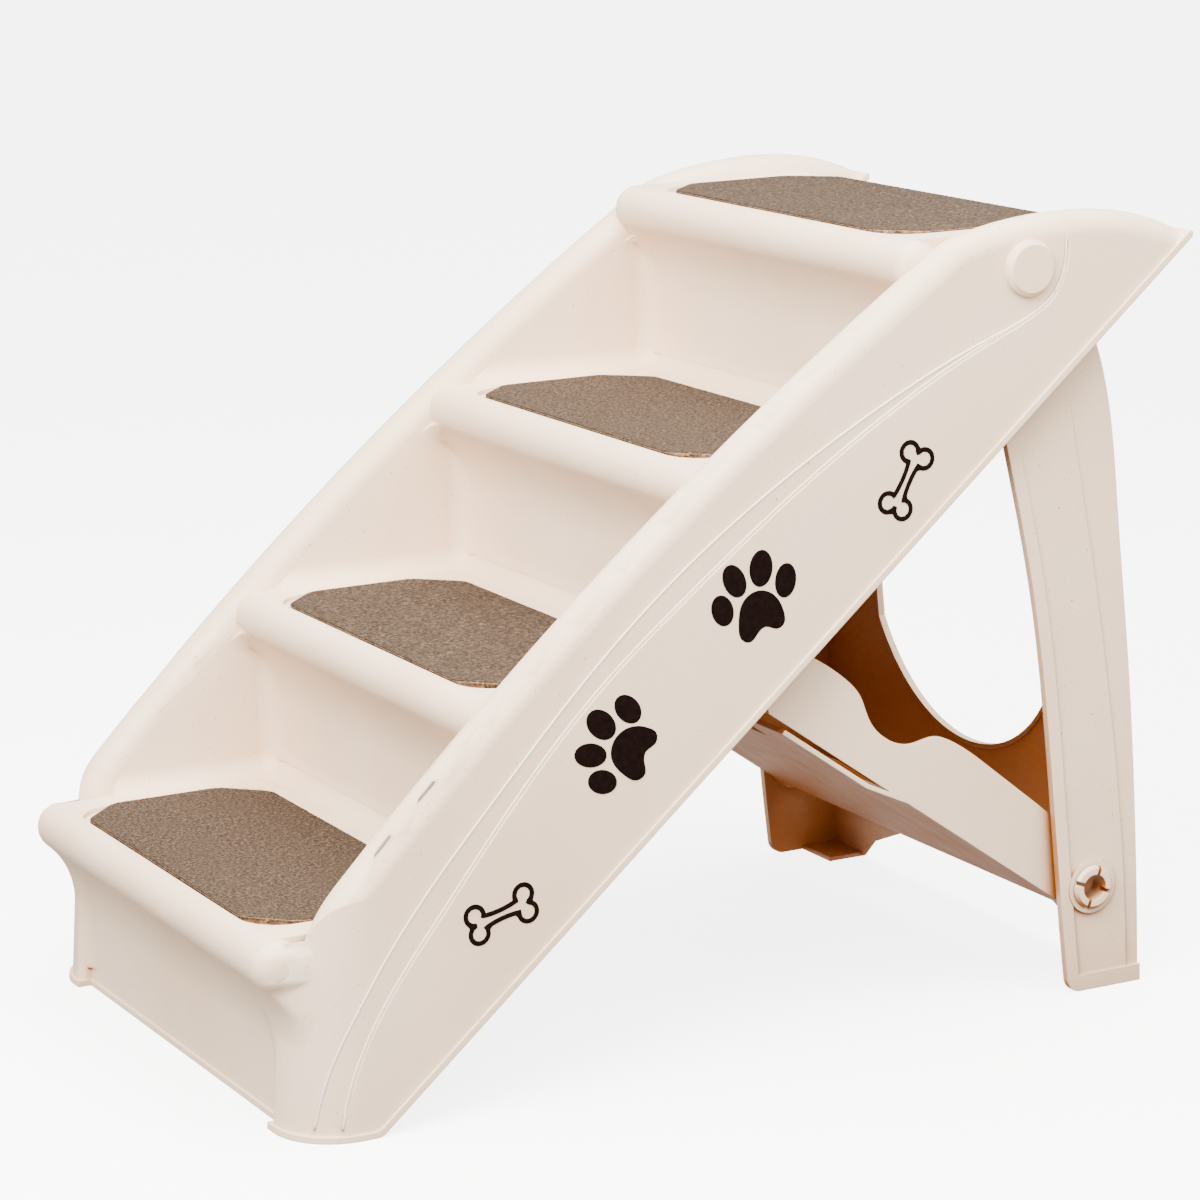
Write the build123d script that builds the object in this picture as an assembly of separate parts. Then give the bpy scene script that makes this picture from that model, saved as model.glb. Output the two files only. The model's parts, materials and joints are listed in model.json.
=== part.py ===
from build123d import *
from math import atan2, cos, degrees, hypot, radians, sin
import os

os.makedirs("parts", exist_ok=True)

# Folding pet stairs, in millimetres. X runs from the front nose to the rear tip, the two cheeks
# stand at -Y and +Y, and Z is up from the floor. The side view is drawn in x and z from the
# front nose, and every piece is moved back by half the length when it is written.

# Staircase
STEPS = 4
RISE = 122.5
RUN = 144.4
TOP_TREAD = 154.0
TIP_REACH = 44.0
HUMP_RISE = 10.0
WALL = 3.0
NOSE_RADIUS = 15.5
PANEL_SETBACK = 25.0
UNDERCUT_RADIUS = 15.0
TREAD_CORNER_RADIUS = 15.0
WELL_BLEND = 13.0
KNOB_REACH = 13.0
KNOB_ROUND = 12.0
REAR_EDGE_RADIUS = 9.0

# Cheeks
HALF_WIDTH = 200.0
CHEEK_WIDTH = 30.0
RELIEF_STEP = 1.2
CHEEK_ROUND = 13.4
CORNER_ROUND = 38.0
PILLAR_SETBACK = 16.0
PILLAR_LEAN = 8.0
PILLAR_LEAN_HEIGHT = 100.0
PILLAR_WIDTH = 46.0
PILLAR_DEPTH = 30.0
PILLAR_HEIGHT = 92.0
PILLAR_EDGE_RADIUS = 5.0
PILLAR_ARCH = 36.0
BASE_LENGTH = 66.4
FRONT_EDGE = 89.6
FRONT_BEND_RADIUS = 95.0
BACK_RADIUS = 2395.0
SHOULDER_RADIUS = 40.0
HUMP_RADIUS = 288.0
TIP_RADIUS = 150.0
LINE_GAP = 1.5
RIM_HEIGHT = 4.0
RIM_PROUD = 1.4
BASE_CORNER_RADIUS = 9.0

# Tread mats, glued into shallow recesses
MAT_DEPTH = 127.5
MAT_SIDE_MARGIN = 22.0
MAT_THICKNESS = 5.0
MAT_RECESS = 3.0
MAT_CORNER = 27.0
MAT_CORNER_ROUND = 14.0
RECESS_CORNER = 26.0
MAT_SETBACK = 15.5
MAT_CLEARANCE = 0.8

# Leg pivot, blind in both cheeks
PIVOT_X = 513.5
PIVOT_Z = 469.0
PIVOT_RADIUS = 11.0
RUNNING_CLEARANCE = 0.06
BOSS_RADIUS = 17.0
BOSS_PROUD = 2.5
BOSS_BEVEL = 2.4
SOCKET_CAP = 2.5
HUB_REACH = 5.0
PIN_END_GAP = 1.0

# Leg frame
LEG_SETBACK = 14.5
LEG_WALL = 3.6
LEG_FIELD = 1.3
LEG_RIM_PROUD = 1.5
LEG_RIM_WIDTH = 9.0
LEG_TOP_RADIUS = 24.0
FOOT_FRONT_X = 557.7
FOOT_LENGTH = 55.0
FOOT_CORNER = 10.0
FOOT_BAND = 11.0
FOOT_WIDTH = 41.0
SOLE_DEPTH = 30.0
SOLE_THICKNESS = 3.0
WEB_THICKNESS = 3.2
WEB_TOP = 398.0
OPENING_RADIUS = 116.0
OPENING_Z = 235.0
OPENING_HALF = 105.0
OPENING_TOP = 352.0
OPENING_LIP = 5.0
LIP_THICKNESS = 3.0
ARCH_HEIGHT = 30.0
ARCH_HALF = 92.0
ARCH_SHOULDER_HEIGHT = 14.0

# Cross brace, with a split snap pin at each side
BRACE_X = 574.0
BRACE_Z = 68.8
BRACE_ANGLE = 141.5
BRACE_SIDE_GAP = 2.9
BRACE_WALL = 3.0
BRACE_WEB_REACH = 255.0
BRACE_WEB_NOTCH = 30.0
BRACE_ARM_WIDTH = 59.0
BRACE_PAN = 6.0
BRACE_HUB_RADIUS = 20.0
BRACE_RIB = 8.0
SNAP_RADIUS = 12.4
SNAP_BORE = 8.4
SNAP_BARB = 1.9
SNAP_BARB_LENGTH = 2.6
SNAP_SLOT = 2.4
SNAP_AXIAL_CLEARANCE = 0.4
SNAP_SLOT_TILT = -20.0
COLLAR_RADIUS = 17.5
COLLAR_PROUD = 2.0
COLLAR_GAP = 0.6

# Hook ends of the brace, and the pegs that they rest on
HOOK_REACH = 324.0
PEG_S = 307.0
PEG_T = -11.0
PEG_RADIUS = 6.0
PEG_CLEARANCE = 0.6
PEG_END_GAP = 2.4
HOOK_MOUTH = 12.0
BRACKET_DEPTH = 40.0
BRACKET_OVERLAP = 8.0
BRACKET_BELOW = 8.0

# Printed figures on the photographed cheek
DECAL_THICKNESS = 0.25
FIGURE_STEP = 2.6
BONE_LENGTH = 33.0
BONE_SPREAD = 11.6
BONE_LOBE = 7.3
BONE_LINE = 2.9
BONE_WAIST = 8.2
BONE_END_WAIST = 13.0
PAW_SIZE = 33.0
LOWER_PAW_X = 236.5
LOWER_PAW_Z = 208.0
LOWER_PAW_TURN = 50.0
UPPER_PAW_X = 323.0
UPPER_PAW_Z = 279.0
UPPER_PAW_TURN = 0.0
LOWER_BONE_X = 147.5
LOWER_BONE_Z = 122.5
LOWER_BONE_TILT = 15.0
UPPER_BONE_X = 425.0
UPPER_BONE_Z = 349.0
UPPER_BONE_TILT = 62.5

# Turns of a cheek's top edge, in degrees, from its front edge to past its tip
FRONT_BEND_TURN = 39.6
BACK_TURN = 12.7
SHOULDER_TURN = 17.9
HUMP_TURN = 20.8
TIP_TURN = 40.0

OVERRUN = 60.0

# Sizes that follow from those above
HALF_WELL = HALF_WIDTH - CHEEK_WIDTH
REAR_X = (STEPS - 1) * RUN + TOP_TREAD
LENGTH = REAR_X + TIP_REACH
HEIGHT = STEPS * RISE + HUMP_RISE
SLOPE = RISE / RUN
LEAN = PILLAR_LEAN / PILLAR_LEAN_HEIGHT
UPPER_OUTER = HALF_WIDTH - 2 * RELIEF_STEP
MAT_PROUD = MAT_THICKNESS - MAT_RECESS
MAT_WIDTH = 2 * (HALF_WELL - MAT_SIDE_MARGIN)
LEG_OUTER = HALF_WIDTH - LEG_SETBACK
LEG_INNER = LEG_OUTER - LEG_WALL
BRACE_OUTER = LEG_INNER - BRACE_SIDE_GAP
PIVOT_BORE = PIVOT_RADIUS + RUNNING_CLEARANCE
SNAP_HOLE = SNAP_RADIUS + RUNNING_CLEARANCE
SNAP_SEAT = LEG_OUTER + COLLAR_PROUD
HUB_FACE = UPPER_OUTER - WALL - HUB_REACH
BOSS_FACE = HALF_WIDTH + BOSS_PROUD

# The two moulded lines on a cheek's outer face, as shares of the length and the height
INNER_LINE_SHARES = [
    (0.040, -0.020),
    (0.0635, 0.097),
    (0.0913, 0.165),
    (0.145, 0.261),
    (0.231, 0.383),
    (0.337, 0.521),
    (0.426, 0.618),
    (0.550, 0.724),
    (0.668, 0.804),
    (0.764, 0.856),
]
OUTER_LINE_SHARES = [
    (0.062, -0.020),
    (0.0824, 0.084),
    (0.1006, 0.132),
    (0.166, 0.246),
    (0.252, 0.379),
    (0.354, 0.511),
    (0.429, 0.587),
    (0.553, 0.702),
    (0.669, 0.793),
    (0.764, 0.853),
]
TURN_SHARES = [(0.816, 0.882), (0.842, 0.906), (0.854, 0.941), (0.856, 0.978), (0.855, 1.040)]

# Edges of a leg: x as a share from the foot to the pivot's round, z as a share of the pivot's height
LEG_FRONT_SHARES = [(0.0, 0.0), (0.20, 0.275), (0.47, 0.582), (0.76, 0.768), (0.95, 0.90)]
LEG_REAR_SHARES = [(0.0, 0.0), (0.062, 0.256), (0.17, 0.482), (0.28, 0.65), (0.40, 0.812), (0.60, 0.915)]
LEG_BEND_SHARES = [(0.13, 0.0), (0.23, 0.256), (0.42, 0.482), (0.60, 0.65), (0.72, 0.75), (0.84, 0.86)]

# Upper and lower edges of a brace flange: along its reach, and above or below its pin in hub radii
BRACE_TOP_SHARES = [
    (0.12, 1.08),
    (0.345, 1.13),
    (0.450, 1.06),
    (0.490, 0.84),
    (0.525, 0.24),
    (0.578, -0.10),
    (0.636, 0.02),
    (0.685, 0.46),
    (0.730, 0.60),
    (0.86, 0.44),
    (1.0, 0.30),
]
BRACE_LOW_START_SHARE = -0.93
BRACE_LOW_END_SHARE = -1.78
BRACE_PAN_SHARES = (0.46, 0.56)
BRACE_RIB_SHARES = (-0.5, 0, 0.5)

# How far a bevel inside a round edge is set back, as a share of the round that it stands for
BEVEL_SHARE = 2 - 2**0.5

# Paw figure: centre, half width, half height and tilt of each toe, and the outline of the pad
TOE_SHARES = [
    (0.03, 0.86, 0.24, 0.34),
    (0.54, 0.58, 0.22, 0.32),
    (-0.52, 0.69, 0.22, 0.33),
    (-0.77, 0.18, 0.22, 0.30),
]
TOE_TILTS = [-3.0, -6.0, 28.0, 22.0]
PAD_SHARES = [
    (0.02, 0.46),
    (0.28, 0.36),
    (0.50, 0.02),
    (0.50, -0.22),
    (0.34, -0.29),
    (0.14, -0.22),
    (0.0, -0.28),
    (-0.20, -0.47),
    (-0.36, -0.42),
    (-0.44, -0.12),
    (-0.32, 0.32),
]


def spot(center, radius, angle):
    """Point on a circle in the side view."""
    turn = radians(angle)
    return (center[0] + radius * cos(turn), center[1] + radius * sin(turn))


def arc(center, radius, start, end):
    """Arc in the side view from one angle to another, in degrees."""
    return ThreePointArc(*[spot(center, radius, angle) for angle in (start, (start + end) / 2, end)])


def shaped(shares, width, height):
    """Points of an outline from its shares."""
    return [(x * width, z * height) for x, z in shares]


def inset_points(points, inset):
    """The same line, moved to its right-hand side by the inset."""
    moved = []
    for index, point in enumerate(points):
        before = points[max(index - 1, 0)]
        after = points[min(index + 1, len(points) - 1)]
        run, rise = after[0] - before[0], after[1] - before[1]
        reach = hypot(run, rise)
        moved.append((point[0] + inset * rise / reach, point[1] - inset * run / reach))
    return moved


def slab(face, start, end):
    """Side-view face made solid between two places along Y."""
    return Pos(0, end, 0) * extrude(Plane.XZ * face, amount=end - start)


def both(face, start, end):
    """The same slab on both sides of the stairs."""
    return slab(face, start, end) + slab(face, -end, -start)


def rod(x, z, radius, start, end):
    """Round bar along Y."""
    return slab(Pos(x, z) * Circle(radius), start, end)


def rods(x, z, radius, start, end):
    """The same bar on both sides."""
    return rod(x, z, radius, start, end) + rod(x, z, radius, -end, -start)


def polygon(*points):
    """Closed side-view face with straight edges."""
    return make_face(Polyline(*points, close=True))


def frame_face(start, end):
    """Everything between two places along X, at every height of the stairs."""
    return polygon((start, -OVERRUN), (end, -OVERRUN), (end, HEIGHT + OVERRUN), (start, HEIGHT + OVERRUN))


def drop_line(x):
    """Height of the cheek's lower edge."""
    return SLOPE * (x - BASE_LENGTH)


def stair_face(inset):
    """Side view of the steps. The inset one is the inside of their shell."""
    sink = inset + MAT_RECESS if inset else 0
    nose, under, corner = NOSE_RADIUS - sink, UNDERCUT_RADIUS + inset, TREAD_CORNER_RADIUS + inset
    rear = REAR_X - inset
    edges = []
    here = (PANEL_SETBACK + inset, -OVERRUN)
    start = here
    for step in range(STEPS):
        level = RISE * (step + 1) - MAT_PROUD - sink
        front = step * RUN + inset
        panel = step * RUN + PANEL_SETBACK + inset
        nose_center = (front + nose, level - nose)
        across = nose + under - (panel - front)
        fall = ((nose + under) ** 2 - across**2) ** 0.5
        under_center = (panel - under, level - nose - fall)
        lift = degrees(atan2(fall, across))
        edges.append(Line(here, (panel, under_center[1])))
        edges.append(arc(under_center, under, 0, lift))
        edges.append(arc(nose_center, nose, 180 + lift, 90))
        if step < STEPS - 1:
            corner_center = (panel + RUN - corner, level + corner)
            edges.append(Line(spot(nose_center, nose, 90), spot(corner_center, corner, -90)))
            edges.append(arc(corner_center, corner, -90, 0))
            here = spot(corner_center, corner, 0)
        else:
            edge_center = (rear - REAR_EDGE_RADIUS, level - REAR_EDGE_RADIUS)
            edges.append(Line(spot(nose_center, nose, 90), spot(edge_center, REAR_EDGE_RADIUS, 90)))
            edges.append(arc(edge_center, REAR_EDGE_RADIUS, 90, 0))
            here = spot(edge_center, REAR_EDGE_RADIUS, 0)
    edges.append(Line(here, (rear, drop_line(rear) - OVERRUN)))
    edges.append(Line((rear, drop_line(rear) - OVERRUN), start))
    return make_face(edges)


def cheek_face(inset=0):
    """Side view of a cheek, run on below its lower edge for the cut that ends it."""
    front = PILLAR_SETBACK + inset * hypot(1, LEAN)
    low = (front - LEAN * OVERRUN, -OVERRUN)
    heading = degrees(atan2(1, LEAN))
    here = spot((PILLAR_SETBACK, 0), FRONT_EDGE, heading)
    here = spot(here, inset, heading - 90)
    edges = [Line(low, here)]
    for radius, turn in (
        (FRONT_BEND_RADIUS, FRONT_BEND_TURN),
        (BACK_RADIUS, BACK_TURN),
        (SHOULDER_RADIUS, SHOULDER_TURN),
        (HUMP_RADIUS, HUMP_TURN),
        (TIP_RADIUS, TIP_TURN),
    ):
        center = spot(here, radius - inset, heading - 90)
        edges.append(arc(center, radius - inset, heading + 90, heading + 90 - turn))
        heading -= turn
        here = spot(center, radius - inset, heading + 90)
    low_end = (here[0], drop_line(here[0]) - 3 * OVERRUN)
    edges.append(Line(here, low_end))
    edges.append(Line(low_end, low))
    return make_face(edges)


def plan_block(outer, inset, radius):
    """Everything inside the stairs' outline from above, leaning back as the pillars do."""
    depth = LENGTH + OVERRUN
    plan = Pos(depth / 2, 0) * Rectangle(depth, 2 * outer)
    front_corners = plan.vertices().sort_by(Axis.X)[:2]
    plan = fillet(front_corners, radius)
    place = Pos(PILLAR_SETBACK, 0, 0) * Rot(Y=degrees(atan2(LEAN, 1))) * Pos(inset, 0, -OVERRUN)
    return place * extrude(plan, amount=HEIGHT + 2 * OVERRUN)


def keep_face():
    """Side view of all that is above the floor and the lower edge of the cheeks, up to their blunt tip."""
    face = polygon(
        (-OVERRUN, 0),
        (BASE_LENGTH, 0),
        (LENGTH, drop_line(LENGTH)),
        (LENGTH, HEIGHT + OVERRUN),
        (-OVERRUN, HEIGHT + OVERRUN),
    )
    base_corner = face.vertices().sort_by_distance((BASE_LENGTH, 0, 0))[0]
    return fillet(base_corner, BASE_CORNER_RADIUS)


def field_face(line_shares, inset=0):
    """Side view of the cheek's field below and behind one of its moulded lines."""
    points = inset_points(shaped(line_shares + TURN_SHARES, LENGTH, HEIGHT), inset)
    start, top = points[0], points[-1]
    end = LENGTH + OVERRUN
    around = [top, (end, top[1]), (end, start[1] - OVERRUN), (start[0], start[1] - OVERRUN), start]
    return make_face([Spline(*points), Polyline(*around)])


def cheek(outer, inset=0):
    """One cheek at +Y with its round top edge, out to the given face, or its bevelled hollow."""
    solid = slab(cheek_face(inset), HALF_WELL + inset, outer - inset)
    middle = (HALF_WELL + outer) / 2
    edges = solid.edges().filter_by(lambda edge: abs(edge.center().Y - middle) > WALL)
    bends = edges.filter_by(GeomType.CIRCLE)
    front = edges.filter_by(GeomType.LINE).sort_by(lambda edge: edge.center().X)[:2]
    if inset:
        return chamfer(bends + front, (CHEEK_ROUND - inset) * BEVEL_SHARE)
    return fillet(bends + front, CHEEK_ROUND)


def cheek_layer(steps_out):
    """A cheek at +Y with its face this many relief steps outside the upper field's."""
    outer = UPPER_OUTER + steps_out * RELIEF_STEP
    return cheek(outer) & plan_block(outer, 0, CORNER_ROUND)


def cheeks():
    """Both cheeks: the upper field, the band, and the proud lower field, side by side."""
    band = slab(field_face(INNER_LINE_SHARES), HALF_WELL - WALL, HALF_WIDTH + WALL)
    lower = slab(field_face(OUTER_LINE_SHARES, LINE_GAP), HALF_WELL - WALL, HALF_WIDTH + WALL)
    side = cheek_layer(0) - band
    side += (cheek_layer(1) & band) - lower
    side += cheek_layer(2) & lower
    return side + mirror(side, Plane.XZ)


def pillars(inset=0):
    """The wide front pillars beside the first riser. The inset ones are the hollows inside them."""
    front = PILLAR_SETBACK + inset * hypot(1, LEAN)
    height = PILLAR_HEIGHT - inset
    foot = polygon(
        (front - LEAN * OVERRUN, -OVERRUN),
        (front + LEAN * height, height),
        (front + PILLAR_DEPTH, height),
        (front + PILLAR_DEPTH, -OVERRUN),
    )
    inner = HALF_WIDTH - PILLAR_WIDTH
    spring = PILLAR_HEIGHT - PILLAR_ARCH
    pillar = slab(foot, inner - PILLAR_ARCH, UPPER_OUTER - inset)
    arch = Pos(inner - PILLAR_ARCH, spring) * Circle(PILLAR_ARCH + inset)
    below = Pos(inner - PILLAR_ARCH, spring - LENGTH / 2) * Rectangle(2 * (PILLAR_ARCH + inset), LENGTH)
    gate = extrude(Plane.YZ * (arch + below), amount=LENGTH, both=True)
    pillar -= gate
    if not inset:
        rims = pillar.edges().filter_by(lambda edge: edge.bounding_box().max.Y < inner + WALL)
        rims = rims.filter_by(lambda edge: edge.center().X < front + LEAN * height + WALL)
        rims = rims.filter_by(lambda edge: edge.bounding_box().size.Z > PILLAR_ARCH / 2)
        pillar = fillet(rims, PILLAR_EDGE_RADIUS)
    pillar = pillar & plan_block(UPPER_OUTER - inset, inset, CORNER_ROUND - inset)
    return pillar + mirror(pillar, Plane.XZ)


def well():
    """The open space over the treads and before the first riser, its ends rounded for the blends."""
    rear = LENGTH + OVERRUN
    shelf = drop_line(REAR_X) - OVERRUN
    room = frame_face(-OVERRUN, rear)
    below = polygon((PANEL_SETBACK, -OVERRUN), (rear, -OVERRUN), (rear, shelf), (REAR_X, shelf))
    space = [face for face in (room - stair_face(0) - below).faces() if face.bounding_box().min.X < 0][0]
    space = slab(space, -HALF_WELL, HALF_WELL)
    ends = space.edges().filter_by(lambda edge: abs(edge.tangent_at(0.5).Y) < 0.5)
    bends = ends.filter_by(GeomType.CIRCLE)
    lines = ends.filter_by(GeomType.LINE).filter_by(lambda edge: edge.center().X > 0)
    lines = lines.filter_by(lambda edge: edge.center().X < REAR_X + WALL and edge.center().Z < HEIGHT)
    lines = lines.filter_by(lambda edge: min(abs(edge.tangent_at(0.5).X), abs(edge.tangent_at(0.5).Z)) < 0.1)
    lines = lines.filter_by(lambda edge: edge.center().Z > -OVERRUN + WALL)
    return fillet(bends + lines, WELL_BLEND)


def knobs(step):
    """The round ends of a step's nose, which run on into the cheeks."""
    center_z = RISE * (step + 1) - MAT_PROUD - NOSE_RADIUS
    knob = rod(step * RUN + NOSE_RADIUS, center_z, NOSE_RADIUS, HALF_WELL, HALF_WELL + KNOB_REACH)
    end_edge = knob.edges().filter_by(GeomType.CIRCLE).sort_by(Axis.Y)[-1]
    knob = fillet(end_edge, KNOB_ROUND)
    return knob + mirror(knob, Plane.XZ)


def treads():
    """The stepped core with its bullnoses, and the blends from it up to the cheeks."""
    core = slab(stair_face(0), -HALF_WELL, HALF_WELL)
    for step in range(STEPS):
        core += knobs(step)
    blends = slab(cheek_face(CHEEK_ROUND + WALL), -HALF_WELL, HALF_WELL) - well()
    return core + blends


def brace_spot(reach, lift):
    """Point of the side view at a reach along the brace from its pin, and a lift above that line."""
    along = radians(BRACE_ANGLE)
    over = radians(BRACE_ANGLE - 90)
    return (
        BRACE_X + reach * cos(along) + lift * cos(over),
        BRACE_Z + reach * sin(along) + lift * sin(over),
    )


PEG_X, PEG_Z = brace_spot(PEG_S, PEG_T)


def cavity():
    """The inside of the moulded stairs, open below."""
    core = slab(stair_face(WALL), WALL - HALF_WELL, HALF_WELL - WALL)
    passage = stair_face(WALL) & cheek_face(CHEEK_ROUND + 2 * WALL)
    core += slab(passage, -HALF_WELL - WALL, HALF_WELL + WALL)
    hollow = cheek(UPPER_OUTER, WALL)
    for steps_out, shares in ((1, INNER_LINE_SHARES), (2, OUTER_LINE_SHARES)):
        face = field_face(shares, WALL * steps_out) & cheek_face(CHEEK_ROUND + WALL)
        hollow += slab(face, HALF_WELL + WALL, UPPER_OUTER + steps_out * RELIEF_STEP - WALL)
    hollow &= plan_block(HALF_WIDTH - WALL, WALL, CORNER_ROUND - WALL)
    return core + hollow + mirror(hollow, Plane.XZ) + pillars(WALL)


def rim(inside):
    """The thin proud rim along the base and the lower edges."""
    lift = RIM_HEIGHT * (1 - hypot(1, SLOPE)) / SLOPE
    band = keep_face() - Pos(lift, RIM_HEIGHT) * keep_face()
    outer = HALF_WIDTH + RIM_PROUD
    ring = slab(band & cheek_face(-RIM_PROUD), -outer, outer)
    ring &= plan_block(outer, -RIM_PROUD, CORNER_ROUND + RIM_PROUD)
    gate_half = HALF_WIDTH - PILLAR_WIDTH - RIM_PROUD
    ring -= slab(frame_face(-OVERRUN, PANEL_SETBACK - RIM_PROUD), -gate_half, gate_half)
    ring -= slab(frame_face(PANEL_SETBACK, LENGTH + OVERRUN), -HALF_WELL, HALF_WELL)
    return ring - inside


def on_tread(step, outline, height):
    """An outline made solid upwards from the floor of a tread's recess."""
    place = Pos(step * RUN + MAT_SETBACK + MAT_DEPTH / 2, 0, RISE * (step + 1) - MAT_THICKNESS)
    return place * extrude(outline, amount=height)


def mat_solid(step):
    """A tread's mat with its corners cut off."""
    outline = Rectangle(MAT_DEPTH, MAT_WIDTH)
    outline = chamfer(outline.vertices(), MAT_CORNER)
    outline = fillet(outline.vertices(), MAT_CORNER_ROUND)
    return on_tread(step, outline, MAT_THICKNESS)


def recess(step):
    """The shallow recess that a mat lies in, and the air over it."""
    grow = 2 * MAT_CLEARANCE
    outline = RectangleRounded(MAT_DEPTH + grow, MAT_WIDTH + grow, RECESS_CORNER)
    return on_tread(step, outline, OVERRUN)


def brackets():
    """Ribs under a tread that carry the pegs for the brace's hooks."""
    step = int((PEG_X - PANEL_SETBACK) // RUN)
    panel = step * RUN + PANEL_SETBACK
    level = RISE * (step + 1) - MAT_PROUD - MAT_RECESS
    rib = polygon(
        (panel - BRACKET_OVERLAP, level),
        (panel + BRACKET_DEPTH, level),
        (PEG_X + BRACKET_BELOW, PEG_Z - BRACKET_BELOW),
        (panel - BRACKET_OVERLAP, PEG_Z - BRACKET_BELOW),
    )
    peg_end = LEG_INNER - PEG_END_GAP
    return both(rib, HALF_WELL, HALF_WELL + WALL) + rods(PEG_X, PEG_Z, PEG_RADIUS, HALF_WELL, peg_end)


def boss_disc():
    """The blind boss on the outside of the +Y cheek, with its bevelled edge."""
    start = UPPER_OUTER - WALL
    disc = rod(PIVOT_X, PIVOT_Z, BOSS_RADIUS, start, BOSS_FACE)
    face_edge = disc.edges().filter_by(GeomType.CIRCLE).sort_by(Axis.Y)[-1]
    return chamfer(face_edge, BOSS_BEVEL)


def stair_body():
    """The moulded stairs: four treads, two cheeks and their pivot bosses, one thin shell."""
    inside = cavity()
    shell = treads() + cheeks() + pillars() - inside
    shell &= slab(keep_face(), -HALF_WIDTH - OVERRUN, HALF_WIDTH + OVERRUN)
    shell += rim(inside)
    for step in range(STEPS):
        shell -= recess(step)
    shell += brackets()
    disc = boss_disc()
    shell += disc + mirror(disc, Plane.XZ)
    shell += rods(PIVOT_X, PIVOT_Z, BOSS_RADIUS, HUB_FACE, UPPER_OUTER)
    return shell - rods(PIVOT_X, PIVOT_Z, PIVOT_BORE, HUB_FACE - WALL, BOSS_FACE - SOCKET_CAP)


def leg_line(shares, foot, top):
    """Points of a leg's edge, from the foot up to one side of the round end at the pivot."""
    points = [(foot + x * (top - foot), z * PIVOT_Z) for x, z in shares]
    return points + [(top, PIVOT_Z)]


def leg_face(rear_shares=LEG_REAR_SHARES):
    """Side view of one leg, out to its rear edge or to the bend line before it."""
    left, right = PIVOT_X - LEG_TOP_RADIUS, PIVOT_X + LEG_TOP_RADIUS
    front = leg_line(LEG_FRONT_SHARES, FOOT_FRONT_X, left)
    rear = leg_line(rear_shares, FOOT_FRONT_X + FOOT_LENGTH, right)
    edges = [
        Spline(*front),
        ThreePointArc(front[-1], (PIVOT_X, PIVOT_Z + LEG_TOP_RADIUS), rear[-1]),
        Spline(*rear[::-1]),
        Line(rear[0], front[0]),
    ]
    face = make_face(edges)
    toe = face.vertices().sort_by_distance((FOOT_FRONT_X, 0, 0))[0]
    return fillet(toe, FOOT_CORNER)


def opening_prism(grow, start, end):
    """The leg frame's large round-bottomed opening, made solid along X."""
    radius = OPENING_RADIUS + grow
    bottom = Pos(0, OPENING_Z) * Circle(radius)
    half = OPENING_HALF + grow
    top = OPENING_TOP + grow
    straight = Pos(0, (OPENING_Z + top) / 2) * Rectangle(2 * half, top - OPENING_Z)
    low = Pos(0, OPENING_Z - radius / 2) * Rectangle(2 * half, radius)
    outline = straight + (bottom & low)
    return Pos(start, 0, 0) * extrude(Plane.YZ * outline, amount=end - start)


def arch_prism(start, end):
    """The arch between the feet, made solid along X."""
    foot_inner = LEG_OUTER - FOOT_WIDTH
    shoulder = foot_inner - ARCH_SHOULDER_HEIGHT
    half = [
        (foot_inner, -OVERRUN),
        (foot_inner, 0),
        (shoulder, ARCH_SHOULDER_HEIGHT),
        (ARCH_HALF, ARCH_HEIGHT),
    ]
    outline = polygon(*half, *[(-y, z) for y, z in half[::-1]])
    return Pos(start, 0, 0) * extrude(Plane.YZ * outline, amount=end - start)


def rear_strip(depth):
    """What lies within a depth of the legs' rear edge, right across, up to the cross bar's top."""
    face = leg_face()
    strip = slab(face, -LEG_INNER, LEG_INNER) - Pos(-depth, 0, 0) * slab(face, -LEG_OUTER, LEG_OUTER)
    front = PIVOT_X - LEG_TOP_RADIUS
    top = polygon((front, WEB_TOP), (LENGTH, WEB_TOP), (LENGTH, HEIGHT), (front, HEIGHT))
    return strip - slab(top, -LEG_OUTER, LEG_OUTER)


def leg_frame():
    """The folding leg: two side walls, the web with its opening between them, and the pivot pins."""
    face, field = leg_face(), leg_face(LEG_BEND_SHARES) & leg_face()
    start, end = PIVOT_X, FOOT_FRONT_X + FOOT_LENGTH + OVERRUN
    rim_face = field - Pos(LEG_RIM_WIDTH, 0) * field
    band = polygon((start, 0), (end, 0), (end, FOOT_BAND), (start, FOOT_BAND))
    frame = both(face, LEG_INNER, LEG_OUTER - LEG_FIELD) + both(field, LEG_INNER, LEG_OUTER)
    frame += both(rim_face + (face & band), LEG_INNER, LEG_OUTER + LEG_RIM_PROUD)
    web = rear_strip(WEB_THICKNESS) - opening_prism(0, start, end)
    lip = rear_strip(OPENING_LIP) & (opening_prism(LIP_THICKNESS, start, end) - opening_prism(0, start, end))
    frame += (web + lip) - arch_prism(start, end)
    sole_front = FOOT_FRONT_X + FOOT_LENGTH - SOLE_DEPTH
    sole = polygon((sole_front, 0), (end, 0), (end, SOLE_THICKNESS), (sole_front, SOLE_THICKNESS))
    frame += both(sole & face, LEG_OUTER - FOOT_WIDTH, LEG_INNER)
    frame += rods(PIVOT_X, PIVOT_Z, PIVOT_RADIUS, LEG_INNER, BOSS_FACE - SOCKET_CAP - PIN_END_GAP)
    frame += rods(PIVOT_X, PIVOT_Z, BOSS_RADIUS, LEG_INNER, HUB_FACE - COLLAR_GAP)
    frame += rods(BRACE_X, BRACE_Z, COLLAR_RADIUS, LEG_INNER, SNAP_SEAT)
    return frame - rods(BRACE_X, BRACE_Z, SNAP_HOLE, LEG_INNER - WALL, SNAP_SEAT + WALL)


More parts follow.
